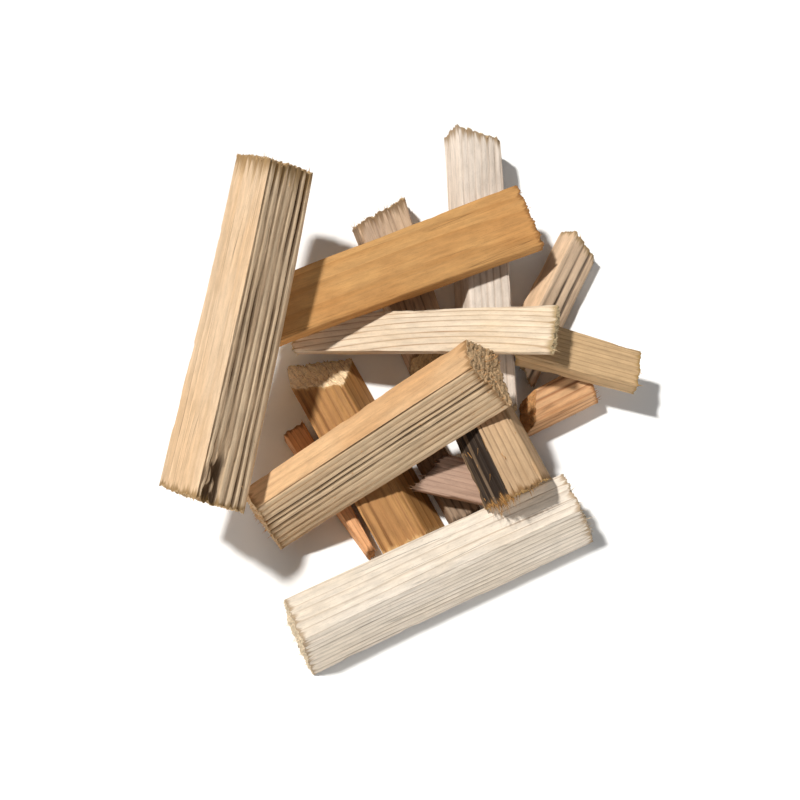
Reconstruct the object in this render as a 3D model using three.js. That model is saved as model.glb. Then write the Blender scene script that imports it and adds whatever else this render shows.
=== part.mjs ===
// A loose heap of fifteen split softwood kindling sticks. Millimetres, Z up, origin at the
// bottom centre of the heap. Each stick is one solid; the sticks only lie on each other.
import * as THREE from 'three';

// ---- Sizes shared by every stick ----
const GAP = 0.3;          // air kept between sticks that touch
const CORNER = 1.6;       // rounding of the long edges
const SPANS = 4;          // lengths the side faces are divided into
const RIB_FLAT = 0.55;    // share of each rib that is crest rather than groove
const MAX_SLOPE = 35;     // steepest slope a stick can come to rest at, degrees
const DEG = Math.PI / 180;

// ---- The sticks, from the ones on the ground up to the last one laid on top ----
// section: corners [across, up] of the stick as it lies, going round from the lower corner
//          on its left hand side, over the top, to the lower corner on its right
// taper:   width of the far end against the middle; the near end narrows or widens to match
// near, far: slant of each end face, as [shift per mm across, shift per mm up]
// bow:     sideways bend at mid length
// ribs:    { side, count, depth }: growth rings standing proud on one long face
// x, y, heading: where the middle of the stick lies, and the way its far end points
const STICKS = [
  { name: 'front_stick', x: 23, y: -101, heading: 25.5, length: 184, taper: 0.98, bow: 0.6,
    section: [[12, 0], [15, 40], [-10, 36], [-23, 0]], near: [0, 0.05], far: [0, -0.17],
    colour: 0xdcc4a4, rough: 0.75 },
  { name: 'back_pale_stick', x: 51.5, y: 95.5, heading: 92, length: 188, taper: 1.04, bow: -0.5,
    section: [[14, 0], [19, 4], [11, 28], [-16, 26], [-17, 0]], near: [0, -0.25], far: [0.35, -0.1],
    colour: 0xd2bea5, rough: 0.8 },
  { name: 'back_left_stick', x: 0.5, y: 84.5, heading: 108, length: 110, taper: 1.12, bow: 0.4,
    section: [[15, 0], [13, 20], [-18.5, 20], [-20, 0]], near: [-0.25, 0.15], far: [-0.25, -0.35],
    colour: 0xc3a486, rough: 0.8 },
  { name: 'yellow_stick', x: -28, y: -25, heading: 118, length: 134, taper: 1.01, bow: 0,
    section: [[10, 0], [18, 24], [-11, 25], [-28, 0]], near: [0, -0.2], far: [0.4, -1.15],
    ribs: { side: 1, count: 6, depth: 1.1 }, colour: 0xcfa66c, rough: 0.75 },
  { name: 'red_side_stick', x: -40.5, y: -52.5, heading: 121.5, length: 90, taper: 1.45, bow: 0,
    section: [[5, 0], [5, 15], [-5, 16], [-5, 0]], near: [0, 0], far: [0, 0],
    colour: 0xb98560, rough: 0.8 },
  { name: 'striped_stick', x: 95.5, y: 79.5, heading: 64, length: 80, taper: 0.97, bow: 0,
    section: [[10, 0], [14, 5], [2.5, 20], [-14, 11], [-16, 0]], near: [1.2, -0.7], far: [0.35, 0],
    ribs: { side: 2, count: 3, depth: 0.9 }, colour: 0xcdb08c, rough: 0.78 },
  { name: 'red_stick', x: 96.5, y: 5, heading: 28, length: 52, taper: 1.05, bow: 0,
    section: [[14, 0], [12, 19], [-9, 18], [-10, 0]], near: [0.55, 0.5], far: [0.2, -0.2],
    colour: 0xc58f5f, rough: 0.78 },
  { name: 'hidden_brown_stick', x: 20.5, y: -33, heading: 118, length: 86, taper: 0.95, bow: 0,
    section: [[10, 0], [9.5, 15], [-9, 16], [-10, 0]], near: [0, 0.1], far: [0.2, -0.1],
    colour: 0xa98d70, rough: 0.82 },
  { name: 'right_slat', x: 107, y: 27.5, heading: -16, length: 74, taper: 0.91, bow: 0,
    section: [[13, 0], [15, 12], [-11, 12], [-13, 0]], near: [-0.2, -0.15], far: [-0.15, 0.1],
    colour: 0xcfae80, rough: 0.75 },
  { name: 'level_pale_stick', x: 15.5, y: 39, heading: -3.5, length: 160, taper: 1.14, bow: 0.5,
    section: [[14, 0], [14.5, 16], [-14.5, 16], [-9, 0]], near: [-0.1, 0], far: [0.1, 0],
    colour: 0xe2cda8, rough: 0.75 },
  { name: 'pink_stick', x: 37, y: -49, heading: -14, length: 38, taper: 0.96, bow: 0,
    section: [[12, 0], [11, 12], [-15, 12], [-12, 0]], near: [0.5, 0], far: [0.1, 0],
    colour: 0xcbb096, rough: 0.82 },
  { name: 'frayed_stick', x: 54, y: -27.5, heading: 112, length: 79, taper: 0.93, bow: 0,
    section: [[20, 0], [22, 2.5], [9, 17], [-11, 19], [-20, 3], [-16, 0]], near: [-0.1, -0.4],
    far: [-0.1, -0.45], colour: 0xcaa77c, rough: 0.82 },
  { name: 'centre_ribbed_stick', x: -10.5, y: -35.5, heading: 29, length: 168, taper: 1.06, bow: 0.5,
    section: [[12, 0], [18, 31], [1, 34], [-20, 3], [-18, 0]], near: [-0.15, 0.3],
    far: [0.25, -0.35], ribs: { side: 2, count: 9, depth: 1.2 }, colour: 0xcdaf88, rough: 0.8 },
  { name: 'orange_slat', x: -5, y: 79.5, heading: 24.5, length: 188, taper: 1.06, bow: 0.5,
    section: [[20, 0], [21.5, 14], [-20.5, 11], [-20, 1.5], [-18, 0]], near: [0, 0], far: [0.05, 0],
    colour: 0xc7934f, rough: 0.65 },
  { name: 'left_ribbed_stick', x: -90, y: 35.5, heading: 80, length: 212, taper: 0.97, bow: -0.8,
    section: [[18, 0], [28.5, 14], [0, 46], [-22.5, 16], [-18, 0]], near: [0.15, -0.2],
    far: [0.1, -0.35], ribs: { side: 2, count: 7, depth: 1.3 }, colour: 0xcda981, rough: 0.78 },
];

// The outline of a stick across the grain: corners rounded, ribs cut into one side.
function outline(stick) {
  const corners = stick.section.map(([v, z]) => new THREE.Vector2(v, z));
  const count = corners.length;
  const points = [];
  corners.forEach((corner, i) => {
    const before = corners[(i + count - 1) % count];
    const after = corners[(i + 1) % count];
    const back = before.clone().sub(corner);
    const ahead = after.clone().sub(corner);
    const cut = Math.min(CORNER, back.length() / 3, ahead.length() / 3);
    const start = corner.clone().addScaledVector(back.normalize(), cut);
    const end = corner.clone().addScaledVector(ahead.normalize(), cut);
    const curve = new THREE.QuadraticBezierCurve(start, corner, end);
    points.push(...curve.getPoints(2));
    const ribs = stick.ribs;
    if (!ribs || ribs.side !== i) return;
    const along = after.clone().sub(corner).normalize();
    const inward = new THREE.Vector2(-along.y, along.x);
    const length = after.distanceTo(corner) - 2 * cut;
    const pitch = length / ribs.count;
    for (let k = 1; k < ribs.count; k += 1) {
      const half = (pitch * (1 - RIB_FLAT)) / 2;
      const middle = end.clone().addScaledVector(along, k * pitch);
      points.push(middle.clone().addScaledVector(along, -half));
      points.push(middle.clone().addScaledVector(inward, ribs.depth));
      points.push(middle.clone().addScaledVector(along, half));
    }
  });
  return points;
}

// One stick lying along +X, its underside at z = 0, its far end towards +X.
function stickGeometry(stick) {
  const ring = outline(stick);
  const count = ring.length;
  const positions = [];
  for (let s = 0; s <= SPANS; s += 1) {
    const t = s / SPANS;
    const width = 1 + (stick.taper - 1) * (2 * t - 1);
    const bend = stick.bow * (1 - (2 * t - 1) ** 2);
    for (const p of ring) {
      const v = p.x * width;
      const near = stick.near[0] * v + stick.near[1] * p.y;
      const far = stick.far[0] * v + stick.far[1] * p.y;
      const along = stick.length * (t - 0.5) + near * (1 - t) + far * t;
      positions.push(along, v + bend, p.y);
    }
  }
  const index = [];
  for (let s = 0; s < SPANS; s += 1) {
    for (let i = 0; i < count; i += 1) {
      const j = (i + 1) % count;
      const a = s * count + i;
      const b = s * count + j;
      index.push(a, b, b + count, a, b + count, a + count);
    }
  }
  const last = SPANS * count;
  for (const [a, b, c] of THREE.ShapeUtils.triangulateShape(ring, [])) {
    index.push(a, c, b, last + a, last + b, last + c);
  }
  const geometry = new THREE.BufferGeometry();
  geometry.setAttribute('position', new THREE.Float32BufferAttribute(positions, 3));
  geometry.setIndex(index);
  return facingOut(geometry);
}

// Turns every face of a closed mesh round if its volume comes out negative.
function facingOut(geometry) {
  const p = geometry.attributes.position;
  const index = geometry.index.array;
  const corner = [0, 1, 2].map(() => new THREE.Vector3());
  let volume = 0;
  for (let i = 0; i < index.length; i += 3) {
    corner.forEach((v, k) => v.fromBufferAttribute(p, index[i + k]));
    volume += corner[0].dot(corner[1].clone().cross(corner[2]));
  }
  if (volume < 0) {
    for (let i = 0; i < index.length; i += 3) {
      [index[i + 1], index[i + 2]] = [index[i + 2], index[i + 1]];
    }
  }
  geometry.computeVertexNormals();
  return geometry;
}

// ---- Laying one stick on the others ----
// A posed stick is its points in space with its edges and faces.
function pose(mesh, slope, z) {
  mesh.rotation.set(0, -slope * DEG, mesh.userData.heading * DEG, 'ZYX');
  mesh.position.z = z;
  mesh.updateMatrix();
  const source = mesh.geometry.attributes.position;
  const points = [];
  for (let i = 0; i < source.count; i += 1) {
    points.push(new THREE.Vector3().fromBufferAttribute(source, i).applyMatrix4(mesh.matrix));
  }
  return { points, edges: mesh.userData.edges, faces: mesh.userData.faces,
    box: new THREE.Box3().setFromPoints(points) };
}

function edgesAndFaces(geometry) {
  const index = geometry.index.array;
  const faces = [];
  const edges = new Map();
  for (let i = 0; i < index.length; i += 3) {
    const face = [index[i], index[i + 1], index[i + 2]];
    faces.push(face);
    face.forEach((a, k) => {
      const b = face[(k + 1) % 3];
      edges.set(Math.min(a, b) * 1e5 + Math.max(a, b), [a, b]);
    });
  }
  return { faces, edges: [...edges.values()] };
}

const crossZ = (a, b, c) => (b.x - a.x) * (c.y - a.y) - (b.y - a.y) * (c.x - a.x);

// How far body `over` must rise to stand clear of body `under`, seen from above.
function liftOver(over, under) {
  const apart = ['x', 'y'].some((axis) => over.box.max[axis] < under.box.min[axis]
    || over.box.min[axis] > under.box.max[axis]);
  if (apart) return -Infinity;
  let lift = -Infinity;
  for (const [i, j] of over.edges) {
    const p = over.points[i];
    const q = over.points[j];
    for (const [k, l] of under.edges) {
      const r = under.points[k];
      const s = under.points[l];
      const den = (q.x - p.x) * (s.y - r.y) - (q.y - p.y) * (s.x - r.x);
      if (Math.abs(den) < 1e-9) continue;
      const t = ((r.x - p.x) * (s.y - r.y) - (r.y - p.y) * (s.x - r.x)) / den;
      if (t < 0 || t > 1) continue;
      const u = ((r.x - p.x) * (q.y - p.y) - (r.y - p.y) * (q.x - p.x)) / den;
      if (u < 0 || u > 1) continue;
      lift = Math.max(lift, r.z + u * (s.z - r.z) - p.z - t * (q.z - p.z));
    }
  }
  return Math.max(lift, cornerLift(over, under, 1), cornerLift(under, over, -1));
}

function cornerLift(corners, body, sign) {
  let lift = -Infinity;
  for (const point of corners.points) {
    for (const [a, b, c] of body.faces) {
      const [p, q, r] = [body.points[a], body.points[b], body.points[c]];
      const area = crossZ(p, q, r);
      if (Math.abs(area) < 1e-9) continue;
      const u = crossZ(p, point, r) / area;
      const w = crossZ(p, q, point) / area;
      if (u < 0 || w < 0 || u + w > 1) continue;
      lift = Math.max(lift, sign * (p.z + u * (q.z - p.z) + w * (r.z - p.z) - point.z));
    }
  }
  return lift;
}

// The height a stick rests at when held at one slope.
function restHeight(mesh, slope, laid) {
  const body = pose(mesh, slope, 0);
  const lifts = laid.map((under) => liftOver(body, under) + GAP);
  return Math.max(-body.box.min.z, ...lifts);
}

// Lets the stick tip until its middle is as low as it can go, which is where it comes to rest.
function layDown(mesh, laid) {
  const golden = (Math.sqrt(5) - 1) / 2;
  let [low, high] = [-MAX_SLOPE, MAX_SLOPE];
  while (high - low > 0.002) {
    const a = high - golden * (high - low);
    const b = low + golden * (high - low);
    if (restHeight(mesh, a, laid) < restHeight(mesh, b, laid)) high = b;
    else low = a;
  }
  const slope = Math.abs(low + high) < 0.05 ? 0 : (low + high) / 2;
  return pose(mesh, slope, restHeight(mesh, slope, laid));
}

const heap = new THREE.Group();
heap.name = 'kindling_heap';
const laid = [];
for (const stick of STICKS) {
  const geometry = stickGeometry(stick);
  const material = new THREE.MeshStandardMaterial({
    color: stick.colour, roughness: stick.rough, metalness: 0,
  });
  const mesh = new THREE.Mesh(geometry, material);
  mesh.name = stick.name;
  mesh.position.set(stick.x, stick.y, 0);
  mesh.userData = { heading: stick.heading, ...edgesAndFaces(geometry) };
  laid.push(layDown(mesh, laid));
  heap.add(mesh);
}

// The origin goes to the bottom centre of the whole heap.
const whole = new THREE.Box3();
laid.forEach((body) => whole.union(body.box));
const centre = whole.getCenter(new THREE.Vector3());
for (const mesh of heap.children) {
  mesh.position.x -= centre.x;
  mesh.position.y -= centre.y;
  mesh.position.z -= whole.min.z;
  mesh.userData = {};
}

export default heap;
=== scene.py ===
import math

import bpy
import numpy as np
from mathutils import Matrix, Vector


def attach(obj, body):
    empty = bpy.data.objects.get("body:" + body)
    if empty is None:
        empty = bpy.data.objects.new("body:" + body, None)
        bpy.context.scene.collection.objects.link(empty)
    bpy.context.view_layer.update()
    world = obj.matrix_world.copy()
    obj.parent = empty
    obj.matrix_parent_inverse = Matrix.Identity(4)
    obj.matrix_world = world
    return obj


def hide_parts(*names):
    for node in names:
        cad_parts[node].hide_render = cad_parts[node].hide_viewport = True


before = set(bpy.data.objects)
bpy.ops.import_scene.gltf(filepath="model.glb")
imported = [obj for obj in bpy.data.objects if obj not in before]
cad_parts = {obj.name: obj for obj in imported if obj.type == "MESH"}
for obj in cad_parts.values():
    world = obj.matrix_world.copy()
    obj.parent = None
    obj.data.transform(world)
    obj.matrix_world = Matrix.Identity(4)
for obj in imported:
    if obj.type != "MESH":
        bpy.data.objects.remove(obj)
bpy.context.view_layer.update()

# ---- Studio ----
# A plain pale floor and a camera that looks steeply down on the heap from the front. A key light
# stands high at the back left, a wide one low in front, and a pale surround fills the shadows.
CAMERA_TARGET = Vector((-0.0045, -0.0169, 0.025))
CAMERA_ELEVATION = math.radians(68)
CAMERA_DISTANCE = 0.900
CAMERA_LENS = 67.5
KEY_DIRECTION = Vector((-0.46, 0.26, 0.86))
KEY_SPREAD = math.radians(5)
KEY_STRENGTH = 3.7
FRONT_DIRECTION = Vector((0.25, -0.90, 0.30))
FRONT_SPREAD = math.radians(50)
FRONT_STRENGTH = 1.7
SURROUND = (0.93, 0.96, 1.0, 1.0)
SURROUND_STRENGTH = 0.11
BACKDROP = (1.0, 1.0, 1.0, 1.0)
FLOOR_COLOUR = (0.95, 0.95, 0.94, 1.0)
FLOOR_HALF_SIDE = 9.0
FLOOR_DROP = 0.0004

scene = bpy.context.scene
scene.view_settings.view_transform = "Standard"

camera_data = bpy.data.cameras.new("camera")
camera_data.lens = CAMERA_LENS
camera_data.sensor_width = 36
camera = bpy.data.objects.new("camera", camera_data)
scene.collection.objects.link(camera)
back = Vector((0, -math.cos(CAMERA_ELEVATION), math.sin(CAMERA_ELEVATION)))
camera.location = CAMERA_TARGET + back * CAMERA_DISTANCE
camera.rotation_euler = back.to_track_quat("Z", "Y").to_euler()
scene.camera = camera

for name, direction, spread, strength, colour in (
    ("key", KEY_DIRECTION, KEY_SPREAD, KEY_STRENGTH, (1.0, 0.985, 0.96)),
    ("front_fill", FRONT_DIRECTION, FRONT_SPREAD, FRONT_STRENGTH, (1.0, 1.0, 1.0)),
):
    light_data = bpy.data.lights.new(name, "SUN")
    light_data.energy = strength
    light_data.angle = spread
    light_data.color = colour
    light = bpy.data.objects.new(name, light_data)
    scene.collection.objects.link(light)
    light.rotation_euler = direction.to_track_quat("Z", "Y").to_euler()

world = bpy.data.worlds.new("surround")
world.use_nodes = True
surround = world.node_tree.nodes["Background"]
surround.inputs["Color"].default_value = SURROUND
surround.inputs["Strength"].default_value = SURROUND_STRENGTH
backdrop = world.node_tree.nodes.new("ShaderNodeBackground")
backdrop.inputs["Color"].default_value = BACKDROP
seen = world.node_tree.nodes.new("ShaderNodeLightPath")
either = world.node_tree.nodes.new("ShaderNodeMixShader")
world.node_tree.links.new(seen.outputs["Is Camera Ray"], either.inputs[0])
world.node_tree.links.new(surround.outputs[0], either.inputs[1])
world.node_tree.links.new(backdrop.outputs[0], either.inputs[2])
world.node_tree.links.new(either.outputs[0], world.node_tree.nodes["World Output"].inputs[0])
scene.world = world

floor_mesh = bpy.data.meshes.new("floor")
floor_corners = [(x * FLOOR_HALF_SIDE, y * FLOOR_HALF_SIDE, -FLOOR_DROP)
                 for x, y in ((-1, -1), (1, -1), (1, 1), (-1, 1))]
floor_mesh.from_pydata(floor_corners, [], [(0, 1, 2, 3)])
floor = bpy.data.objects.new("floor", floor_mesh)
scene.collection.objects.link(floor)
floor_paint = bpy.data.materials.new("floor_paint")
floor_paint.use_nodes = True
floor_paint.node_tree.nodes["Principled BSDF"].inputs["Base Color"].default_value = FLOOR_COLOUR
floor_paint.node_tree.nodes["Principled BSDF"].inputs["Roughness"].default_value = 0.9
floor_mesh.materials.append(floor_paint)


# ---- Front stick ----
# A thick, pale, straight-grained billet on the ground, split on its sides and sawn across at
# both ends, then left to fade. The tools that every stick shares come first.
MM = 0.001
PATTERN_STEP = 7.3  # keeps the patterns of two sticks apart

# How fast each unevenness of the wood changes along, across and up a stick, in lumps a metre.
RING_DRIFT = (9, 45, 45)
RING_RIPPLE = (30, 260, 260)
RING_CROWDING = (0, 330, 330)
RIDGE_BREAKS = (22, 60, 60)
ROT_PATCHES = (42, 150, 150)
FOLD_STREAKS = (12, 280, 280)
TORN_STREAKS = (28, 750, 750)
TORN_STRIPS = (11, 130, 130)
SWELLS = (14, 30, 30)
EDGE_NICKS = (55, 200, 200)
END_LUMPS = (0, 150, 150)
END_BUNDLES = (0, 760, 760)
END_CHUNKS = (0, 230, 230)
FINE_FIBRES = (45, 2600, 2600)
COLOUR_STREAKS = (9, 420, 420)
BLOTCHES = (13, 32, 32)
PORES = (500, 2200, 2200)
MOTTLE = (90, 330, 330)
CRACK_LINES = (3.5, 190, 190)
CRACK_PLACES = (16, 40, 40)
END_SPECKS = (600, 900, 900)

# The relief of split wood, as shares of one growth ring and as depths.
GROOVE_HALF_WIDTH = 0.26
CROWN_HALF_WIDTH = 0.5
STRIP_STEPS = 9.0
SWELL_DEPTH = 1.6 * MM
ROT_DEPTH = 2.6 * MM
MOST_OUTWARD = 0.12 * MM
LATE_WOOD_ENDS = 0.9

# The finished mesh: how fine it is, and how wide its corners, end bands and face edges are.
ACROSS_STEP = 0.48 * MM
ALONG_STEP = 1.6 * MM
ALONG_GROWTH = 0.09
CAP_COARSER = 1.6
CORNER_REACH = 1.6 * MM
SHARP_CORNER = math.radians(70)
END_BAND = 2 * MM
FACE_EDGE = math.radians(42)
FACE_FADE = math.radians(24)
FOLD_WAY = math.radians(120)
FOLD_EDGE = math.radians(26)
FOLD_FADE = math.radians(16)
BUMP_DEPTH = 0.5 * MM

# Loose splinters: bent slivers, thick at the root and thin at the tip.
SPLINTER_ROOT = 0.24 * MM
SPLINTER_TIP = 0.04 * MM
SPLINTER_TILT = 0.45
SPLINTER_LIFT = 0.16
FLOOR_GAP = 0.1 * MM


class Net:
    """Adds and joins nodes in a material or in a Geometry Nodes tree."""

    def __init__(self, tree):
        self.tree = tree

    def put(self, socket, value):
        """Joins a socket to another node's output, or sets it to a plain value."""
        if isinstance(value, bpy.types.NodeSocket):
            self.tree.links.new(value, socket)
        elif value is not None:
            socket.default_value = value

    def add(self, kind, inputs=None, **settings):
        node = self.tree.nodes.new(kind)
        for name, value in settings.items():
            setattr(node, name, value)
        for name, value in (inputs or {}).items():
            self.put(node.inputs[name], value)
        return node

    def math(self, operation, a, b=None):
        node = self.add("ShaderNodeMath", operation=operation)
        for socket, value in zip(node.inputs, (a, b)):
            self.put(socket, value)
        return node.outputs[0]

    def plus(self, *terms):
        total = terms[0]
        for term in terms[1:]:
            total = self.math("ADD", total, term)
        return total

    def times(self, *factors):
        product = factors[0]
        for factor in factors[1:]:
            product = self.math("MULTIPLY", product, factor)
        return product

    def vector(self, operation, a, b=None, c=None, scale=None):
        node = self.add("ShaderNodeVectorMath", operation=operation)
        for socket, value in zip(node.inputs, (a, b, c)):
            self.put(socket, value)
        if scale is not None:
            self.put(node.inputs["Scale"], scale)
        return node.outputs["Value" if operation == "LENGTH" else "Vector"]

    def xyz(self, x, y, z):
        return self.add("ShaderNodeCombineXYZ", {"X": x, "Y": y, "Z": z}).outputs[0]

    def split(self, vector):
        return self.add("ShaderNodeSeparateXYZ", {"Vector": vector}).outputs

    def ramp(self, value, low, high, to_low=0.0, to_high=1.0):
        """An easy curve from to_low, where the value is low, to to_high, where it is high."""
        node = self.add(
            "ShaderNodeMapRange",
            {"Value": value, "From Min": low, "From Max": high, "To Min": to_low, "To Max": to_high},
            interpolation_type="SMOOTHSTEP",
        )
        return node.outputs["Result"]

    def mix(self, amount, a, b):
        """Two colours mixed: a where the amount is 0, b where it is 1."""
        node = self.add("ShaderNodeMix", data_type="RGBA")
        self.put(node.inputs["Factor"], amount)
        self.put(node.inputs[6], a)
        self.put(node.inputs[7], b)
        return node.outputs[2]

    def noise(self, at, stretch, seed, detail=2.0, roughness=0.5):
        """Noise about 0.5, in lumps 1/stretch metres long along, across and up the stick."""
        place = self.vector("MULTIPLY_ADD", at, stretch, self.xyz(seed, seed, seed))
        node = self.add(
            "ShaderNodeTexNoise",
            {"Vector": place, "Scale": 1.0, "Detail": detail, "Roughness": roughness},
        )
        return node.outputs[0]

    def cells(self, at, stretch, seed):
        """Random numbers, the same all over each cell of a broken pattern."""
        place = self.vector("MULTIPLY_ADD", at, stretch, self.xyz(seed, seed, seed))
        node = self.add("ShaderNodeTexVoronoi", {"Vector": place, "Scale": 1.0, "Randomness": 1.0},
                        feature="F1")
        return self.split(node.outputs["Color"])


def group_tree(name, kind, inputs, outputs):
    """A new node group, with its named inputs and outputs ready to join."""
    tree = bpy.data.node_groups.new(name, kind)
    for direction, sockets in (("INPUT", inputs), ("OUTPUT", outputs)):
        for socket_name, socket_type in sockets:
            tree.interface.new_socket(socket_name, in_out=direction, socket_type=socket_type)
    return tree, tree.nodes.new("NodeGroupInput").outputs, tree.nodes.new("NodeGroupOutput").inputs


FLOAT, VECTOR, COLOUR = "NodeSocketFloat", "NodeSocketVector", "NodeSocketColor"


def stick_tree():
    """Geometry Nodes: growth rings, ridges, torn fibres and ragged ends on a smooth stick."""
    tree, given, result = group_tree(
        "split_wood",
        "GeometryNodeTree",
        [
            ("Geometry", "NodeSocketGeometry"),
            ("Axis", VECTOR),
            ("Pith", VECTOR),
            ("Pith Distance", FLOAT),
            ("Ring Spacing", FLOAT),
            ("Ring Slope", FLOAT),
            ("Ring Bulge", FLOAT),
            ("Bulge Middle", FLOAT),
            ("Ring Waver", FLOAT),
            ("Ridge Depth", FLOAT),
            ("Fibre Depth", FLOAT),
            ("Edge Wear", FLOAT),
            ("Fray", FLOAT),
            ("Fibre Density", FLOAT),
            ("Side Fibres", FLOAT),
            ("Fibre Length", FLOAT),
            ("Rot", FLOAT),
            ("Seed", FLOAT),
            ("Fibre Seed", "NodeSocketInt"),
            ("Wood", "NodeSocketMaterial"),
        ],
        [("Geometry", "NodeSocketGeometry")],
    )
    tree.is_modifier = True
    net = Net(tree)
    seed = given["Seed"]

    def named(name, kind="FLOAT"):
        node = net.add("GeometryNodeInputNamedAttribute", {"Name": name}, data_type=kind)
        return node.outputs["Attribute"]

    def store(geometry, name, value):
        node = net.add(
            "GeometryNodeStoreNamedAttribute", {"Geometry": geometry, "Name": name},
            data_type="FLOAT", domain="POINT",
        )
        net.put(node.inputs["Value"], value)
        return node.outputs["Geometry"]

    def ring_number(at):
        """How many growth rings lie between a place in the wood and the middle of the stick."""
        x, y, z = net.split(at)[:3]
        section = net.xyz(0.0, y, z)
        radius = net.vector("LENGTH", net.vector("SUBTRACT", section, given["Pith"]))
        depth = net.math("SUBTRACT", radius, given["Pith Distance"])
        from_middle = net.math("SUBTRACT", x, given["Bulge Middle"])
        bulge = net.times(from_middle, from_middle, given["Ring Bulge"])
        slope = net.times(x, given["Ring Slope"])
        slow = net.math("SUBTRACT", net.noise(at, RING_DRIFT, seed, 1.0), 0.5)
        quick = net.math("SUBTRACT", net.noise(at, RING_RIPPLE, seed, 1.0), 0.5)
        uneven = net.math("SUBTRACT", net.noise(section, RING_CROWDING, seed, 0.0), 0.5)
        waver = net.times(net.plus(slow, net.times(quick, 0.22), net.times(uneven, 0.9)),
                          given["Ring Waver"])
        return net.math("DIVIDE", net.plus(depth, bulge, slope, waver), given["Ring Spacing"])

    grain, rim = named("grain", "FLOAT_VECTOR"), named("rim", "FLOAT_VECTOR")
    geometry = store(given["Geometry"], "ring", ring_number(grain))

    # The ridges: rounded crests with a narrow groove where the soft early wood wore away.
    rim_ring = ring_number(rim)
    phase = net.math("FRACT", rim_ring)
    from_groove = net.math("MINIMUM", phase, net.math("SUBTRACT", 1.0, phase))
    groove = net.ramp(from_groove, GROOVE_HALF_WIDTH, 0.0)
    crown = net.ramp(from_groove, CROWN_HALF_WIDTH, 0.0)
    ring_index = net.math("FLOOR", net.math("ADD", rim_ring, 0.5))
    each = net.add("ShaderNodeTexWhiteNoise", {"W": net.math("ADD", ring_index, seed)},
                   noise_dimensions="1D").outputs["Value"]
    keep = net.ramp(net.noise(rim, RIDGE_BREAKS, seed, 2.0), 0.3, 0.62, 0.45, 1.0)
    strength = net.times(net.ramp(each, 0.0, 0.8, 0.3, 1.0), keep, named("worn"))
    ridges = net.times(
        net.plus(net.times(groove, 0.7), net.times(crown, 0.3)), strength, given["Ridge Depth"]
    )

    # Rot eats a hollow beside the fold at the near end, and dark streaks follow the fold from there.
    at_near = net.math("LESS_THAN", named("end_side"), 0.0)
    rot_reach = net.math("DIVIDE", named("to_end"), net.math("MAXIMUM", given["Rot"], 1e-5))
    rot = net.times(
        net.ramp(rot_reach, 1.0, 0.3), at_near, named("rotten"),
        net.ramp(net.noise(rim, ROT_PATCHES, seed, 2.0), 0.36, 0.52),
    )
    fold = net.times(
        named("rotten"), net.ramp(net.noise(rim, FOLD_STREAKS, seed, 2.0), 0.46, 0.64, 0.0, 0.38),
        net.math("GREATER_THAN", given["Rot"], 0.0),
    )
    # The shader darkens the wood where this mask is high: painted shade in the grooves and on faces
    # marked for it, and the dark of the rot and of the fold streaks.
    hollow = net.math("MAXIMUM", net.times(groove, strength), net.times(rot, 0.85))
    hollow = net.math("MAXIMUM", hollow, fold)
    geometry = store(geometry, "groove", net.math("MAXIMUM", hollow, named("painted_shade")))

    # Torn fibres: fine streaks, and terraces where a strip came away with the split.
    roughness = net.math("ADD", net.times(named("worn"), 0.8), 0.2)
    streak = net.math("SUBTRACT", net.noise(rim, TORN_STREAKS, seed, 3.0), 0.62)
    strip = net.noise(rim, TORN_STRIPS, seed, 1.0)
    steps = net.math("DIVIDE", net.math("FLOOR", net.times(strip, STRIP_STEPS)), STRIP_STEPS)
    torn = net.times(
        net.plus(streak, net.times(net.math("SUBTRACT", steps, 0.75), 1.6)),
        roughness, given["Fibre Depth"],
    )
    swell = net.times(net.math("SUBTRACT", net.noise(rim, SWELLS, seed, 1.0), 0.62), SWELL_DEPTH)
    nick = net.ramp(net.noise(rim, EDGE_NICKS, seed, 2.0), 0.5, 0.68)
    wear = net.times(named("corner"), given["Edge Wear"],
                     net.math("ADD", net.times(nick, 2.2), 0.35))
    rotted = net.times(rot, net.math("ADD", streak, 1.3), ROT_DEPTH)
    push = net.math("SUBTRACT", net.plus(torn, swell), net.plus(ridges, wear, rotted))
    push = net.math("MINIMUM", push, MOST_OUTWARD)
    sideways = net.vector("SCALE", named("out", "FLOAT_VECTOR"), scale=push)

    # Ragged ends: bundles of fibres broken off at different lengths.
    bundle_at = net.vector("MULTIPLY", grain, (0.0, 1.0, 1.0))
    lump = net.noise(bundle_at, END_LUMPS, seed, 3.0)
    bundle = net.cells(bundle_at, END_BUNDLES, seed)[0]
    chunk = net.cells(bundle_at, END_CHUNKS, seed)[1]
    grain_ring = net.math("FRACT", named("ring"))
    early = net.ramp(net.math("ABSOLUTE", net.math("SUBTRACT", grain_ring, 0.5)), 0.2, 0.5)
    broken = net.plus(net.times(lump, 1.5), net.times(bundle, 0.4), net.times(early, 0.3),
                      net.times(chunk, 0.4))
    broken = net.math("SUBTRACT", broken, 1.2)
    reach = net.times(given["Fray"], 2.2)
    fade = net.math("EXPONENT", net.math("DIVIDE", net.times(named("to_end"), -1.0), reach))
    inward = net.times(broken, fade, given["Fray"], net.times(named("end_side"), -1.0))
    endwise = net.vector("SCALE", given["Axis"], scale=inward)
    geometry = store(geometry, "pit", net.times(broken, fade))

    moved = net.add(
        "GeometryNodeSetPosition",
        {"Geometry": geometry, "Offset": net.vector("ADD", sideways, endwise)},
    ).outputs["Geometry"]

    # Loose fibres on the broken ends and along the torn faces.
    density = net.math(
        "ADD", net.times(named("end_zone"), given["Fibre Density"]),
        net.times(named("worn"), given["Side Fibres"]),
    )
    scatter = net.add(
        "GeometryNodeDistributePointsOnFaces",
        {"Mesh": moved, "Density": density, "Seed": given["Fibre Seed"]},
        distribute_method="RANDOM",
    )

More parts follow.
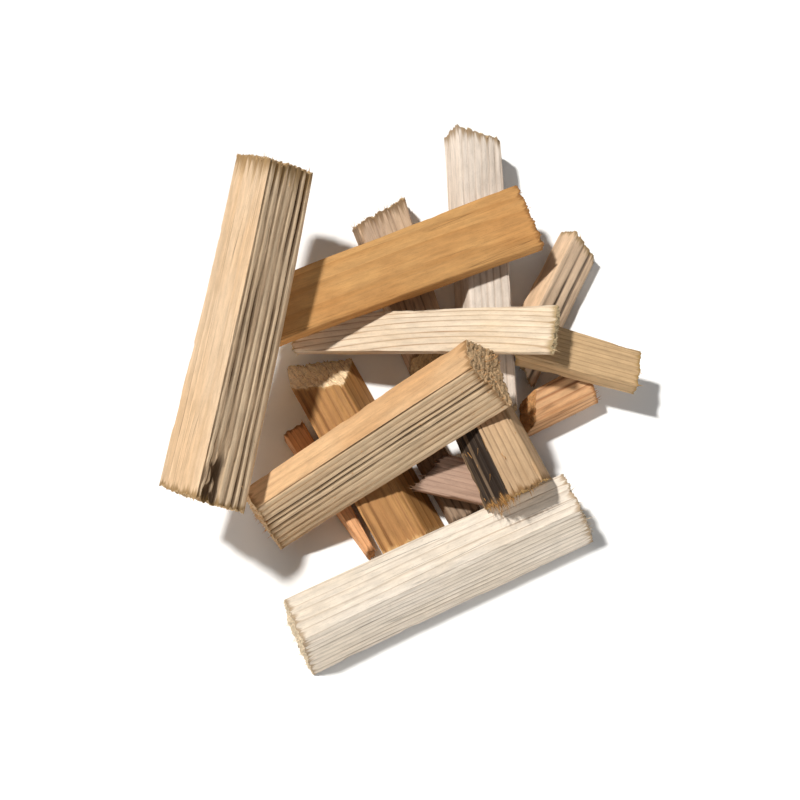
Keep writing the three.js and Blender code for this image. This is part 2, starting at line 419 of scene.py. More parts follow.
    def chance(low, high, salt, kind="FLOAT"):
        """A random number for each fibre, from the stick's own fixed seed."""
        node = net.add("FunctionNodeRandomValue", data_type=kind)
        sockets = [s for s in node.inputs if s.enabled and s.name in ("Min", "Max")]
        net.put(sockets[0], low)
        net.put(sockets[1], high)
        own = net.add("FunctionNodeIntegerMath", {0: given["Fibre Seed"], 1: salt}, operation="ADD")
        net.put(node.inputs["Seed"], own.outputs[0])
        return next(s for s in node.outputs if s.enabled)

    tilt = chance((-SPLINTER_TILT,) * 3, (SPLINTER_TILT,) * 3, 11, "FLOAT_VECTOR")
    heading = net.vector("SCALE", given["Axis"], scale=named("end_side"))
    lifted = net.vector("SCALE", scatter.outputs["Normal"], scale=SPLINTER_LIFT)
    toward = net.vector("ADD", net.vector("ADD", heading, lifted), tilt)
    aligned = net.add("FunctionNodeAlignRotationToVector", {"Vector": toward}, axis="Z").outputs[0]
    spin = net.add("FunctionNodeEulerToRotation", {0: net.xyz(0.0, 0.0, chance(0.0, math.tau, 23))})
    turned = net.add("FunctionNodeRotateRotation", {"Rotation": aligned, "Rotate By": spin.outputs[0]},
                     rotation_space="LOCAL").outputs[0]
    fibre = net.add(
        "GeometryNodeCurveQuadraticBezier",
        {"Resolution": 5, "Start": (0, 0, -0.35), "Middle": (0.02, 0, 0.45), "End": (0.26, 0, 1.0)},
    ).outputs[0]
    size = net.times(chance(0.25, 1.0, 37), chance(0.3, 1.0, 41), given["Fibre Length"])
    fibres = net.add(
        "GeometryNodeInstanceOnPoints",
        {"Points": scatter.outputs["Points"], "Instance": fibre, "Rotation": turned, "Scale": size},
    ).outputs[0]
    fibres = net.add("GeometryNodeRealizeInstances", {"Geometry": fibres}).outputs[0]
    taper = net.add("GeometryNodeSplineParameter").outputs["Factor"]
    each_fibre = net.add("ShaderNodeTexWhiteNoise", {"Vector": grain}, noise_dimensions="3D")
    thickness = net.times(
        net.ramp(taper, 0.2, 1.0, SPLINTER_ROOT, SPLINTER_TIP),
        net.math("ADD", each_fibre.outputs["Value"], 0.4),
    )
    profile = net.add("GeometryNodeCurvePrimitiveCircle", {"Resolution": 4, "Radius": 1.0}).outputs[0]
    fibres = net.add(
        "GeometryNodeCurveToMesh",
        {"Curve": fibres, "Profile Curve": profile, "Scale": thickness, "Fill Caps": True},
    ).outputs[0]
    x, y, z = net.split(net.add("GeometryNodeInputPosition").outputs[0])[:3]
    above = net.xyz(x, y, net.math("MAXIMUM", z, FLOOR_GAP))
    fibres = net.add("GeometryNodeSetPosition", {"Geometry": fibres, "Position": above}).outputs[0]
    fibres = store(fibres, "loose", 1.0)

    joined = net.add("GeometryNodeJoinGeometry")
    net.put(joined.inputs[0], fibres)
    net.put(joined.inputs[0], moved)
    real = net.add("GeometryNodeRealizeInstances", {"Geometry": joined.outputs[0]}).outputs[0]
    painted = net.add(
        "GeometryNodeSetMaterial", {"Geometry": real, "Material": given["Wood"]}
    ).outputs[0]
    net.put(result["Geometry"], painted)
    return tree


def wood_pattern():
    """Shader group: late wood lines, streaks, stains, cracks and end grain of a split stick."""
    tree, given, result = group_tree(
        "wood_pattern",
        "ShaderNodeTree",
        [
            ("Pale", COLOUR), ("Late", COLOUR), ("Warm", COLOUR), ("Groove", COLOUR),
            ("Grey", COLOUR), ("End", COLOUR),
            ("Lines", FLOAT), ("Line Width", FLOAT), ("Streaks", FLOAT), ("Warmth", FLOAT),
            ("Greyness", FLOAT), ("Cracks", FLOAT), ("Groove Dark", FLOAT), ("Seed", FLOAT),
            ("Stain", COLOUR), ("Near Stain", FLOAT), ("Far Stain", FLOAT), ("Crest", FLOAT),
        ],
        [("Colour", COLOUR), ("Roughness", FLOAT), ("Height", FLOAT)],
    )
    net = Net(tree)
    seed = given["Seed"]

    def read(name, output="Fac"):
        return net.add("ShaderNodeAttribute", attribute_name=name).outputs[output]

    grain, ring = read("grain", "Vector"), read("ring")
    worn, cap, groove, pit = read("worn"), read("cap"), read("groove"), read("pit")
    fine = net.noise(grain, FINE_FIBRES, seed, 3.0, 0.6)
    streak = net.noise(grain, COLOUR_STREAKS, seed, 3.0, 0.6)
    blotch = net.noise(grain, BLOTCHES, seed, 3.0, 0.55)
    pores = net.noise(grain, PORES, seed, 2.0, 0.6)
    mottle = net.noise(grain, MOTTLE, seed, 3.0, 0.65)

    # Late wood: darkens slowly through the ring, then stops short.
    phase = net.math("FRACT", ring)
    rise = net.ramp(phase, net.math("SUBTRACT", LATE_WOOD_ENDS, given["Line Width"]), LATE_WOOD_ENDS)
    fall = net.ramp(phase, 1.0, 0.93)
    line = net.times(rise, fall)
    drift = net.ramp(phase, 0.1, 1.0, 0.0, 0.25)
    vary = net.ramp(streak, 0.3, 0.65, 0.45, 1.0)
    late = net.times(net.math("MAXIMUM", line, drift), vary, given["Lines"])
    colour = net.mix(late, given["Pale"], given["Late"])
    warm = net.times(net.ramp(blotch, 0.38, 0.66), given["Warmth"])
    colour = net.mix(warm, colour, given["Warm"])
    grey = net.times(
        net.ramp(net.plus(blotch, net.times(streak, 0.6)), 0.62, 0.95, 0.25, 1.0),
        net.math("ADD", net.times(worn, 0.75), 0.25), given["Greyness"],
    )
    colour = net.mix(grey, colour, given["Grey"])

    # Hairline cracks along the grain, painted highlight on the ridge crests, and painted shade in the
    # grooves between the ridges.
    crack_noise = net.noise(grain, CRACK_LINES, seed, 1.0, 0.4)
    crack_line = net.ramp(net.math("ABSOLUTE", net.math("SUBTRACT", crack_noise, 0.56)), 0.012, 0.0)
    crack_place = net.ramp(net.noise(grain, CRACK_PLACES, seed, 1.0), 0.5, 0.58)
    crack = net.times(crack_line, crack_place, given["Cracks"])
    # Painted highlight: the tops of the ridges are mixed towards the weathered grey.
    crest = net.times(net.ramp(groove, 0.3, 0.0), worn, given["Crest"])
    colour = net.mix(crest, colour, given["Grey"])
    # Painted shade in the grooves and on the frayed stick's shaded side; this mask also darkens the rot
    # and the fold streaks.
    narrow = net.times(net.ramp(groove, 0.16, 0.62), net.ramp(groove, 0.0, 1.0, 0.65, 1.0))
    dark = net.times(narrow, given["Groove Dark"], net.ramp(streak, 0.25, 0.6, 0.55, 1.0))
    colour = net.mix(dark, colour, given["Groove"])

    # Dirt drawn in from the two ends, further along some fibres than others.
    at_far = net.math("GREATER_THAN", read("end_side"), 0.0)
    reach = net.add(
        "ShaderNodeMix", {"Factor": at_far, "A": given["Near Stain"], "B": given["Far Stain"]},
        data_type="FLOAT",
    ).outputs["Result"]
    drawn = net.math("MULTIPLY", reach, net.ramp(streak, 0.34, 0.66, 0.15, 1.0))
    stained = net.ramp(net.math("DIVIDE", read("to_end"), drawn), 1.0, 0.1, 0.0, 0.85)
    colour = net.mix(stained, colour, given["Stain"])

    # The ends: rough, yellower, dark in the hollows between the broken bundles.
    speck = net.noise(grain, END_SPECKS, seed, 3.0, 0.65)
    end = net.mix(net.ramp(pit, 0.0, 0.9, 0.0, 0.55), given["End"], given["Stain"])
    end = net.mix(net.times(net.math("MAXIMUM", line, drift), 0.3), end, given["Late"])
    end_shade = net.ramp(speck, 0.3, 0.7, 0.76, 1.16)
    on_end = net.ramp(cap, 0.3, 0.9)
    colour = net.mix(on_end, colour, end)
    fibre_shade = net.plus(
        net.times(net.math("SUBTRACT", fine, 0.5), 0.55),
        net.times(net.math("SUBTRACT", streak, 0.5), 0.9),
    )
    side_shade = net.times(
        net.math("ADD", net.times(fibre_shade, given["Streaks"]), 1.0),
        net.ramp(pores, 0.28, 0.42, 0.84, 1.0), net.ramp(mottle, 0.3, 0.7, 0.9, 1.07),
        net.math("SUBTRACT", 1.0, net.times(crack, 0.75)),
    )
    shade = net.add("ShaderNodeMix", {"Factor": on_end, "A": side_shade, "B": end_shade},
                    data_type="FLOAT").outputs["Result"]
    colour = net.mix(net.times(read("loose"), 0.75), colour, given["Warm"])
    net.put(result["Colour"], net.vector("SCALE", colour, scale=shade))
    net.put(result["Roughness"], net.ramp(streak, 0.2, 0.8, 0.66, 0.86))
    height = net.plus(
        net.times(fine, 0.5), net.times(streak, 0.5), net.times(line, 0.25),
        net.times(pores, 0.25), net.times(crack, -1.5), net.times(cap, net.times(speck, 1.2)),
    )
    net.put(result["Height"], height)
    return tree


STICK_TREE = stick_tree()
WOOD_PATTERN = wood_pattern()


def linear(text):
    """A colour written the usual way, as red, green and blue light."""
    parts = [int(text[i:i + 2], 16) / 255 for i in (0, 2, 4)]
    light = [c / 12.92 if c <= 0.04045 else ((c + 0.055) / 1.055) ** 2.4 for c in parts]
    return (*light, 1.0)


def wood(name, seed, bump=0.6, **values):
    """The shared pattern in one stick's own colours, amounts and stain lengths."""
    material = bpy.data.materials.new(name)
    material.use_nodes = True
    net = Net(material.node_tree)
    shader = material.node_tree.nodes["Principled BSDF"]
    pattern = net.add("ShaderNodeGroup", node_tree=WOOD_PATTERN)
    pattern.inputs["Seed"].default_value = seed * PATTERN_STEP
    for key_name, value in values.items():
        value = linear(value) if isinstance(value, str) else value
        pattern.inputs[key_name.replace("_", " ").title()].default_value = value
    bumps = net.add(
        "ShaderNodeBump", {"Height": pattern.outputs["Height"], "Strength": bump, "Distance": BUMP_DEPTH}
    )
    net.put(shader.inputs["Base Color"], pattern.outputs["Colour"])
    net.put(shader.inputs["Roughness"], pattern.outputs["Roughness"])
    net.put(shader.inputs["Normal"], bumps.outputs[0])
    shader.inputs["Specular IOR Level"].default_value = 0.3
    return material


def hull(points):
    """The convex outline of flat points, anticlockwise."""
    ordered = sorted(map(tuple, points))
    chains = []
    for run in (ordered, ordered[::-1]):
        chain = []
        for p in run:
            while len(chain) > 1:
                (ax, ay), (bx, by) = chain[-2], chain[-1]
                if (bx - ax) * (p[1] - ay) - (by - ay) * (p[0] - ax) > 1e-10:
                    break
                chain.pop()
            chain.append(p)
        chains += chain[:-1]
    return np.array(chains)


def stick_solid(node, heading):
    """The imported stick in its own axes: its grain axis, section outline and two end planes."""
    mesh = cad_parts[node].data
    points = np.empty(len(mesh.vertices) * 3)
    mesh.vertices.foreach_get("co", points)
    points = points.reshape(-1, 3)
    normals = np.array([tuple(p.normal) for p in mesh.polygons])
    areas = np.array([p.area for p in mesh.polygons])
    corners = np.array([tuple(p.vertices) for p in mesh.polygons])
    centred = points - points.mean(0)
    axis = np.linalg.eigh(centred.T @ centred)[1][:, -1]
    for _ in range(5):
        side = np.abs(normals @ axis) < 0.5
        axis = np.linalg.eigh((normals[side].T * areas[side]) @ normals[side])[1][:, 0]
    turn = math.radians(heading)
    if axis @ (math.cos(turn), math.sin(turn), 0) < 0:
        axis = -axis
    up = np.array((0, 0, 1.0)) - axis[2] * axis
    up /= np.linalg.norm(up)
    axes = np.array((axis, np.cross(up, axis), up))
    local = points @ axes.T
    ends = []
    for sign in (-1, 1):
        face = local[np.unique(corners[sign * (normals @ axis) > 0.4])]
        plane = np.linalg.lstsq(np.c_[np.ones(len(face)), face[:, 1:]], face[:, 0], rcond=None)[0]
        ends.append((face[:, 1:].min(0), face[:, 1:].max(0), plane, face[:, 1:]))
    return axes, ends


def smooth(x):
    """0 below 0 and 1 above 1, with an easy curve between."""
    x = np.clip(x, 0, 1)
    return x * x * (3 - 2 * x)


def turned_from(angle, way):
    """How far each angle is turned from a given way, whichever side it is on."""
    return np.abs(np.angle(np.exp(1j * (angle - way))))


def stick_mesh(node, heading, bow, rough_faces, shaded_faces, fringe):
    """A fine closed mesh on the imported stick's faces, with its grain coordinates as attributes."""
    axes, (near, far) = stick_solid(node, heading)
    outline = hull(near[3])
    closed = np.vstack([outline, outline[:1]])
    lengths = np.r_[0, np.cumsum(np.linalg.norm(np.diff(closed, axis=0), axis=1))]
    count = int(round(lengths[-1] / ACROSS_STEP))
    at = np.arange(count) * lengths[-1] / count
    ring = np.c_[np.interp(at, lengths, closed[:, 0]), np.interp(at, lengths, closed[:, 1])]
    ahead = np.roll(ring, -1, 0) - np.roll(ring, 1, 0)
    out = np.c_[ahead[:, 1], -ahead[:, 0]]
    out /= np.linalg.norm(out, axis=1)[:, None]
    angle = np.arctan2(out[:, 1], out[:, 0])
    reach = int(round(CORNER_REACH / ACROSS_STEP))
    corner = smooth(turned_from(np.roll(angle, -reach), np.roll(angle, reach)) / SHARP_CORNER)

    def facing(faces):
        """How far each point of the outline belongs to faces given as (way it faces, amount)."""
        share = np.zeros(count)
        for toward, amount in faces:
            away = turned_from(angle, math.radians(toward))
            share = np.maximum(share, amount * smooth((FACE_EDGE - away) / FACE_FADE))
        return share

    # The second set marks faces that the shader paints dark, as painted shade.
    worn, painted_shade, tassel = facing(rough_faces), facing(shaded_faces), facing(fringe)
    spoke = ring - (ring.min(0) + ring.max(0)) / 2
    from_fold = turned_from(np.arctan2(spoke[:, 1], spoke[:, 0]), FOLD_WAY)
    rotten = smooth((FOLD_EDGE - from_fold) / FOLD_FADE)
    scale = (far[1] - far[0]) / (near[1] - near[0])

    def section(p, t):
        other = far[0] + (p - near[0]) * scale
        return p * (1 - t) + other * t

    def end_x(plane, p):
        return plane[0] + p @ plane[1:]

    near_x = end_x(near[2], ring)
    far_x = end_x(far[2], section(ring, 1.0))
    length = float((far_x - near_x).mean())
    marks = [0.0]
    while marks[-1] < length / 2:
        marks.append(marks[-1] + min(ACROSS_STEP + ALONG_GROWTH * marks[-1], ALONG_STEP))
    half = np.array(marks) / marks[-1] / 2
    rows = np.r_[half, (1 - half[:-1])[::-1]]
    parts = {k: [] for k in ("grain", "rim", "out", "to_end", "end_side", "worn", "painted_shade", "rotten",
                             "corner", "cap", "end_zone")}

    def add(x, p, rim_p, inner, t, cap):
        """One loop of points. inner is 1 on the sides and falls to 0 at the middle of an end."""
        n = len(p)
        sway = bow * (1 - (2 * t - 1) ** 2)
        parts["grain"].append(np.c_[x, p[:, 0] + sway, p[:, 1]])
        parts["rim"].append(np.c_[x, rim_p[:, 0] + sway, rim_p[:, 1]])
        parts["out"].append(np.c_[np.zeros(n), out[:n] * inner if n == count else np.zeros((n, 2))])
        parts["to_end"].append(np.full(n, min(t, 1 - t) * length))
        parts["end_side"].append(np.full(n, 1.0 if t > 0.5 else -1.0))
        parts["worn"].append(worn if n == count else np.zeros(n))
        parts["painted_shade"].append(painted_shade if n == count and cap < 1 else np.zeros(n))
        parts["rotten"].append(rotten if n == count else np.zeros(n))
        parts["corner"].append(corner * inner if n == count else np.zeros(n))
        parts["cap"].append(np.full(n, cap))
        zone = 1.0 if cap > 0 or min(t, 1 - t) * length < END_BAND else 0.0
        tuft = tassel * (t < 0.5) if n == count and inner > 0.6 else 0.0
        parts["end_zone"].append(zone * (np.ones(n) + tuft))

    for t in rows:
        p = section(ring, t)
        add(near_x * (1 - t) + far_x * t, p, p, 1.0, t, 0.0 if 0 < t < 1 else 0.5)
    depth = float(np.linalg.norm(ring - ring.mean(0), axis=1).mean())
    cap_rings = max(5, int(round(depth / (ACROSS_STEP * CAP_COARSER))))
    for t, plane in ((0.0, near[2]), (1.0, far[2])):
        rim = section(ring, t)
        centre = rim.mean(0)
        for k in range(1, cap_rings):
            inner = 1 - k / cap_rings
            p = centre + (rim - centre) * inner
            add(end_x(plane, p), p, rim, inner, t, 1.0)
        add(end_x(plane, centre[None]), centre[None], centre[None], 0.0, t, 1.0)

    values = {k: np.concatenate(v) for k, v in parts.items()}
    points = values["grain"] @ axes
    values["out"] = values["out"] @ axes
    n_rows = len(rows)
    j = np.arange(count)
    k = (j + 1) % count
    quads = [np.c_[r * count + j, r * count + k, (r + 1) * count + k, (r + 1) * count + j]
             for r in range(n_rows - 1)]
    triangles = []
    start = n_rows * count
    for first, flip in ((0, True), ((n_rows - 1) * count, False)):
        before = first
        for _ in range(1, cap_rings):
            quad = np.c_[before + j, before + k, start + k, start + j]
            quads.append(quad[:, ::-1] if flip else quad)
            before, start = start, start + count
        fan = np.c_[before + j, before + k, np.full(count, start)]
        triangles.append(fan[:, ::-1] if flip else fan)
        start += 1
    faces = np.vstack(quads)[:, ::-1].tolist() + np.vstack(triangles)[:, ::-1].tolist()
    mesh = bpy.data.meshes.new(node + "_wood")
    mesh.from_pydata(points.tolist(), [], faces)
    for name, value in values.items():
        if value.ndim == 2:
            mesh.attributes.new(name, "FLOAT_VECTOR", "POINT").data.foreach_set("vector", value.ravel())
        else:
            mesh.attributes.new(name, "FLOAT", "POINT").data.foreach_set("value", value)
    mesh.update()
    return mesh, axes, values["grain"].mean(0)


def signed_volume(mesh):
    """The volume inside a closed mesh, negative when its faces point inwards."""
    mesh.calc_loop_triangles()
    ids = np.empty(len(mesh.loop_triangles) * 3, np.int32)
    mesh.loop_triangles.foreach_get("vertices", ids)
    points = np.empty(len(mesh.vertices) * 3)
    mesh.vertices.foreach_get("co", points)
    a, b, c = points.reshape(-1, 3)[ids.reshape(-1, 3)].transpose(1, 0, 2)
    return float(np.einsum("ij,ij->i", a, np.cross(b, c)).sum()) / 6


def make_stick(node, heading, material, seed, way, spacing, pith, slope=0.0, bulge=0.0,
               bulge_middle=0.0, waver=1.2, bow=0.0, rough_faces=(), ridge=0.0, shaded_faces=(),
               fringe=(), rot=0.0, fibre=0.25, edge=0.35, fray=2.0, end_fibres=30000.0,
               side_fibres=0.0, fibre_length=4.0):
    """One finished stick. Lengths are in mm, ways and headings in degrees, and fibres are per
    square metre. Faces are given as (way they face, amount). The rings lie across way, spacing
    apart, and the heart of the tree is pith away from the stick's middle."""
    mesh, axes, middle = stick_mesh(node, heading, bow * MM, rough_faces, shaded_faces, fringe)
    if signed_volume(mesh) < 0:
        mesh.flip_normals()
    piece = bpy.data.objects.new(node + "_wood", mesh)
    scene.collection.objects.link(piece)
    to_bark = np.array((0, math.cos(math.radians(way)), math.sin(math.radians(way))))
    centre = np.array((0, middle[1], middle[2]))
    values = {
        "Axis": tuple(axes[0]),
        "Pith": tuple(centre - to_bark * pith * MM), "Pith Distance": pith * MM,
        "Ring Spacing": spacing * MM, "Ring Slope": slope, "Ring Bulge": bulge,
        "Bulge Middle": float(middle[0]) + bulge_middle * MM, "Ring Waver": waver * MM,
        "Ridge Depth": ridge * MM, "Fibre Depth": fibre * MM, "Edge Wear": edge * MM,
        "Fray": fray * MM, "Fibre Density": float(end_fibres), "Side Fibres": float(side_fibres),
        "Fibre Length": fibre_length * MM, "Rot": rot * MM, "Seed": seed * PATTERN_STEP,
        "Fibre Seed": seed, "Wood": material,
    }
    modifier = piece.modifiers.new("split_wood", "NODES")
    modifier.node_group = STICK_TREE
    for item in STICK_TREE.interface.items_tree:
        if item.item_type == "SOCKET" and item.in_out == "INPUT" and item.name in values:
            modifier[item.identifier] = values[item.name]
    depsgraph = bpy.context.evaluated_depsgraph_get()
    shaped = bpy.data.meshes.new_from_object(
        piece.evaluated_get(depsgraph), preserve_all_data_layers=True, depsgraph=depsgraph
    )
    piece.modifiers.clear()
    piece.data = shaped
    shaped.shade_smooth()
    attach(piece, "root")
    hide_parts(node)


front_wood = wood(
    "front_stick_wood", 1, pale="ecdfce", late="a0846a", warm="e8d2b4", groove="8a7460",
    grey="dcd2c4", end="dcc9ab", stain="a58a6a", lines=0.85, line_width=0.14, streaks=0.6,
    warmth=0.5, greyness=0.5, cracks=0.7, groove_dark=0.9, near_stain=6 * MM, far_stain=6 * MM,
)
make_stick("front_stick", 25.5, front_wood, 1, way=50, spacing=3.4, pith=90,
           slope=0.004, bulge=0.05, waver=2.0, bow=0.6, rough_faces=((160, 0.6), (96, 0.25)),
           ridge=0.4, fibre=0.3, fray=2.4, fibre_length=6)

# ---- Back pale stick ----
# A billet that lies on the ground and points away at the back. Its wood is the same pale kind,
# greyed by weather, and its far end is torn and stained where it was broken off.
back_pale_wood = wood(
    "back_pale_stick_wood", 2, pale="e8dacb", late="a98f78", warm="cfb192", groove="7d6a57",
    grey="c4bab0", end="c2a67c", stain="8c6f48", lines=0.6, line_width=0.25, streaks=0.65,
    warmth=0.3, greyness=0.5, cracks=0.5, groove_dark=0.7, near_stain=5 * MM, far_stain=14 * MM,
)
make_stick("back_pale_stick", 92, back_pale_wood, 2, way=12, spacing=4.0, pith=80,
           slope=0.01, bulge=0.05, waver=2.0, bow=-0.5, rough_faces=((90, 0.7),), ridge=0.5,
           fibre=0.3, fray=3.0, fibre_length=5)

# ---- Back left stick ----
# A shorter pinkish tan billet on the ground beside it. It was split, so its rings stand out as
# low ribs, and its far end is rough and weathered brown.
back_left_wood = wood(
    "back_left_stick_wood", 3, pale="cdaf90", late="8f6c50", warm="c29a75", groove="6a5140",
    grey="a99a8c", end="b8976a", stain="7d6140", lines=0.6, line_width=0.28, streaks=0.75,
    warmth=0.4, greyness=0.5, cracks=0.6, groove_dark=0.8, near_stain=6 * MM, far_stain=16 * MM,
)
make_stick("back_left_stick", 108, back_left_wood, 3, way=25, spacing=3.6, pith=60,
           bulge=0.1, waver=2.4, bow=0.4, rough_faces=((90, 0.8),), ridge=0.7, fibre=0.4,
           fray=3.4, fibre_length=5)

# ---- Yellow stick ----
# A thick, resinous yellow billet on the ground under the heap. Split faces show its wide rings as ribs,
# and its broken far end shows coarse end grain.
# Its end colour, and the stain colour at its ends, are painted pale as painted light on the end faces.
yellow_wood = wood(
    "yellow_stick_wood", 4, pale="bb8a51", late="7d4c22", warm="a86f33", groove="6f4722",
    grey="a8967e", end="f8dcb2", stain="cfa873", lines=0.75, line_width=0.34, streaks=0.7,
    warmth=0.7, greyness=0.15, cracks=0.3, groove_dark=0.7, near_stain=5 * MM, far_stain=4 * MM,
)
make_stick("yellow_stick", 118, yellow_wood, 4, way=0, spacing=4.8, pith=120,
           rough_faces=((88, 1.0),), ridge=0.9, fray=2.0)

# ---- Red side stick ----
# A narrow offcut of reddish heartwood that lies on the ground along the yellow stick. It was
# split on all its sides and broken off at both ends.
# Its colours are painted brighter than the wood, as painted light, for the shade it lies in along the
# yellow stick.
red_side_wood = wood(
    "red_side_stick_wood", 5, pale="eab07c", late="9c5c36", warm="d68f55", groove="55341e",
    grey="8a7563", end="a87848", stain="6a4524", lines=0.65, line_width=0.34, streaks=0.75,
    warmth=0.6, greyness=0.2, cracks=0.4, groove_dark=0.7, near_stain=5 * MM, far_stain=5 * MM,
)
make_stick("red_side_stick", 121.5, red_side_wood, 5, way=10, spacing=2.6, pith=60,
           rough_faces=((90, 0.7),), ridge=0.4, fray=2.0)

# ---- Striped stick ----
# A small billet at the back right, split across very wide rings, so that weathered grey bands
# and deep dark grooves run along its side.
striped_wood = wood(
    "striped_stick_wood", 6, pale="e2c2a0", late="8c6e54", warm="d6ad82", groove="584a3e",
    grey="a69b8e", end="c4a676", stain="8a7048", lines=0.5, line_width=0.25, streaks=0.65,
    warmth=0.4, greyness=0.35, cracks=0.4, groove_dark=1.0, near_stain=4 * MM, far_stain=7 * MM,
)
make_stick("striped_stick", 64, striped_wood, 6, way=29, spacing=6.2, pith=100,
           rough_faces=((119, 1.0),), ridge=1.1, fray=2.0)

# ---- Red stick ----
# A short split piece of reddish orange heartwood on the ground at the right of the heap. Its
# near end was cut clean and its far end is broken.
red_wood = wood(
    "red_stick_wood", 7, pale="d6a97c", late="86502b", warm="c08148", groove="67402a",
    grey="9c8370", end="c99763", stain="9a6a3e", lines=0.8, line_width=0.4, streaks=0.6,
    warmth=0.6, greyness=0.15, cracks=0.4, groove_dark=0.7, near_stain=1.5 * MM, far_stain=4 * MM,
)
make_stick("red_stick", 28, red_wood, 7, way=35, spacing=4.0, pith=60, waver=1.8,
           rough_faces=((90, 0.6),), ridge=0.4, fray=1.2)

# ---- Hidden brown stick ----
# A grey-brown piece in the shade behind the front stick, split like the others and lying flat on the
# ground.
brown_wood = wood(
    "hidden_brown_stick_wood", 8, pale="9c8269", late="5f4a38", warm="8f6c4a", groove="46372b",
    grey="7f756b", end="6f5a40", stain="4c3a2a", lines=0.6, line_width=0.3, streaks=0.6,
    warmth=0.4, greyness=0.6, cracks=0.6, groove_dark=0.8, near_stain=6 * MM, far_stain=8 * MM,
)
make_stick("hidden_brown_stick", 118, brown_wood, 8, way=20, spacing=3.2, pith=60,
           waver=1.6, rough_faces=((90, 0.8),), ridge=0.6, fray=2.2)

# ---- Right slat ----
# A flat slat of yellow-tan wood, fine-ringed and almost smooth, sawn square at both ends. It
# rests on the small sticks at the right of the heap.
slat_wood = wood(
    "right_slat_wood", 9, pale="c3a278", late="8e6c46", warm="b68b57", groove="7f6444",
    grey="a99d88", end="c8ab78", stain="957747", lines=0.6, line_width=0.3, streaks=0.65,
    warmth=0.4, greyness=0.35, cracks=0.3, groove_dark=0.5, near_stain=4 * MM, far_stain=5 * MM,
)
make_stick("right_slat", -16, slat_wood, 9, way=12, spacing=2.5, pith=60,
           waver=1.0, rough_faces=((90, 0.35),), ridge=0.2, fibre=0.2, fray=1.4)

# ---- Level pale stick ----
# A thin cream-coloured stick lying level across the middle. It curves a little, and its dark
# late wood lines bend with it.
level_wood = wood(
    "level_pale_stick_wood", 10, pale="ead7bd", late="9c7450", warm="dcbd93", groove="8d6d4e",
    grey="c4b7a4", end="d8c298", stain="a58a60", lines=0.85, line_width=0.2, streaks=0.6,
    warmth=0.5, greyness=0.2, cracks=0.3, groove_dark=0.5, near_stain=4 * MM, far_stain=6 * MM,
)
make_stick("level_pale_stick", -3.5, level_wood, 10, way=42, spacing=2.5, pith=60,
           slope=0.02, bulge=0.6, bulge_middle=40, waver=1.6, bow=0.5,
           rough_faces=((90, 0.5), (-70, 0.6)), ridge=0.35, fray=2.6, fibre_length=5)

# ---- Pink stick ----
# A thin pinkish offcut under the frayed stick and the centre ribbed stick, split smooth, its
# left end torn into dark fibres.
# Its pale colour is painted darker than the wood, as painted shade, for the shade under those two
# sticks.
pink_wood = wood(
    "pink_stick_wood", 11, pale="b99781", late="7f5d4c", warm="b08a6c", groove="45321f",
    grey="a99b92", end="5f452e", stain="4e3826", lines=0.6, line_width=0.25, streaks=0.65,
    warmth=0.3, greyness=0.3, cracks=0.3, groove_dark=0.6, near_stain=7 * MM, far_stain=4 * MM,
)
make_stick("pink_stick", -14, pink_wood, 11, way=25, spacing=2.6, pith=60,
           rough_faces=((90, 0.5),), ridge=0.3, fray=3.2, fibre_length=6)

# ---- Frayed stick ----
# A flat billet that leans on the front stick. One side was torn away instead of split, so it is stringy,
# and long golden splinters hang from that corner of its lower end.
# That torn side is painted dark, as painted shade under the centre ribbed stick.
frayed_wood = wood(
    "frayed_stick_wood", 12, pale="c5a37c", late="866540", warm="b8874d", groove="261a10",
    grey="92877a", end="bf9a64", stain="7c5a32", lines=0.65, line_width=0.3, streaks=0.75,
    warmth=0.4, greyness=0.45, cracks=0.5, groove_dark=1.1, near_stain=7 * MM, far_stain=5 * MM,
)
make_stick("frayed_stick", 112, frayed_wood, 12, way=172, spacing=3.8, pith=60,
           waver=1.6, rough_faces=((86, 0.6), (32, 1.3)), shaded_faces=((32, 0.85),),
           fringe=((40, 75.0),), ridge=0.6, fibre=0.5, edge=0.9, fray=3.0, fibre_length=12,
           end_fibres=5000, side_fibres=9000)

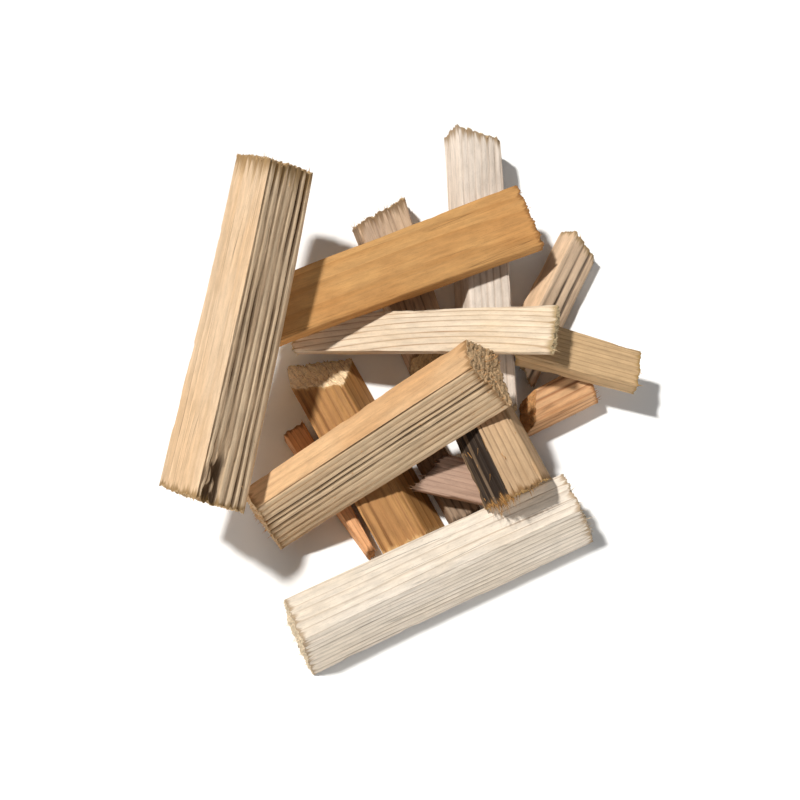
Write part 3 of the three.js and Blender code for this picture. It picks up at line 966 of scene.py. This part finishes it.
# ---- Centre ribbed stick ----
# A thick billet that slopes up across the heap. Its top is a smooth split face, and its front
# is deeply ribbed where weather wore the soft early wood away between the hard late wood.
centre_wood = wood(
    "centre_ribbed_stick_wood", 13, pale="d3aa7d", late="9c7145", warm="c78f55", groove="54432f",
    grey="cbb595", end="d8b488", stain="8c6840", lines=0.35, line_width=0.3, streaks=0.7,
    warmth=0.7, greyness=0.7, cracks=0.3, groove_dark=1.15, crest=0.5, near_stain=6 * MM,
    far_stain=9 * MM,
)
make_stick("centre_ribbed_stick", 29, centre_wood, 13, way=56, spacing=3.9, pith=200,
           bulge=0.02, waver=2.6, bow=0.5, rough_faces=((146, 1.0),), ridge=1.8, fibre=0.5,
           fray=1.9, fibre_length=5, side_fibres=2500)

# ---- Orange slat ----
# A wide, flat slat of smooth orange-brown wood across the back. It was planed or split clean,
# and its right end was snapped to a jagged edge.
orange_wood = wood(
    "orange_slat_wood", 14, pale="c8985e", late="95632f", warm="b67d42", groove="744c26",
    grey="a08766", end="b88a52", stain="8a5d30", lines=0.45, line_width=0.4, streaks=0.6,
    warmth=0.5, greyness=0.08, cracks=0.5, groove_dark=0.4, bump=0.35, near_stain=3 * MM,
    far_stain=5 * MM,
)
make_stick("orange_slat", 24.5, orange_wood, 14, way=72, spacing=4.5, pith=60,
           slope=0.01, bulge=0.15, bulge_middle=20, waver=1.6, bow=0.5, ridge=0.0, fibre=0.1,
           edge=0.25, fray=2.6)

# ---- Left ribbed stick ----
# The longest billet, on top of the heap at the left. One face is split smooth. The other stands
# in ribs along its rings, with a rotted hollow beside the fold at its near end.
left_wood = wood(
    "left_ribbed_stick_wood", 15, pale="d8ba98", late="9a7852", warm="d0a87c", groove="553c22",
    grey="dcc6a6", end="c9a97e", stain="8a6a3c", lines=0.35, line_width=0.3, streaks=0.6,
    warmth=0.6, greyness=0.3, cracks=0.8, groove_dark=1.6, crest=0.45, near_stain=8 * MM,
    far_stain=24 * MM,
)
make_stick("left_ribbed_stick", 80, left_wood, 15, way=53, spacing=5.1, pith=220,
           bulge=0.02, waver=3.4, bow=-0.8, rough_faces=((143, 1.0),), ridge=2.7, fibre=0.5,
           fray=3.2, fibre_length=4, side_fibres=2500, rot=42)
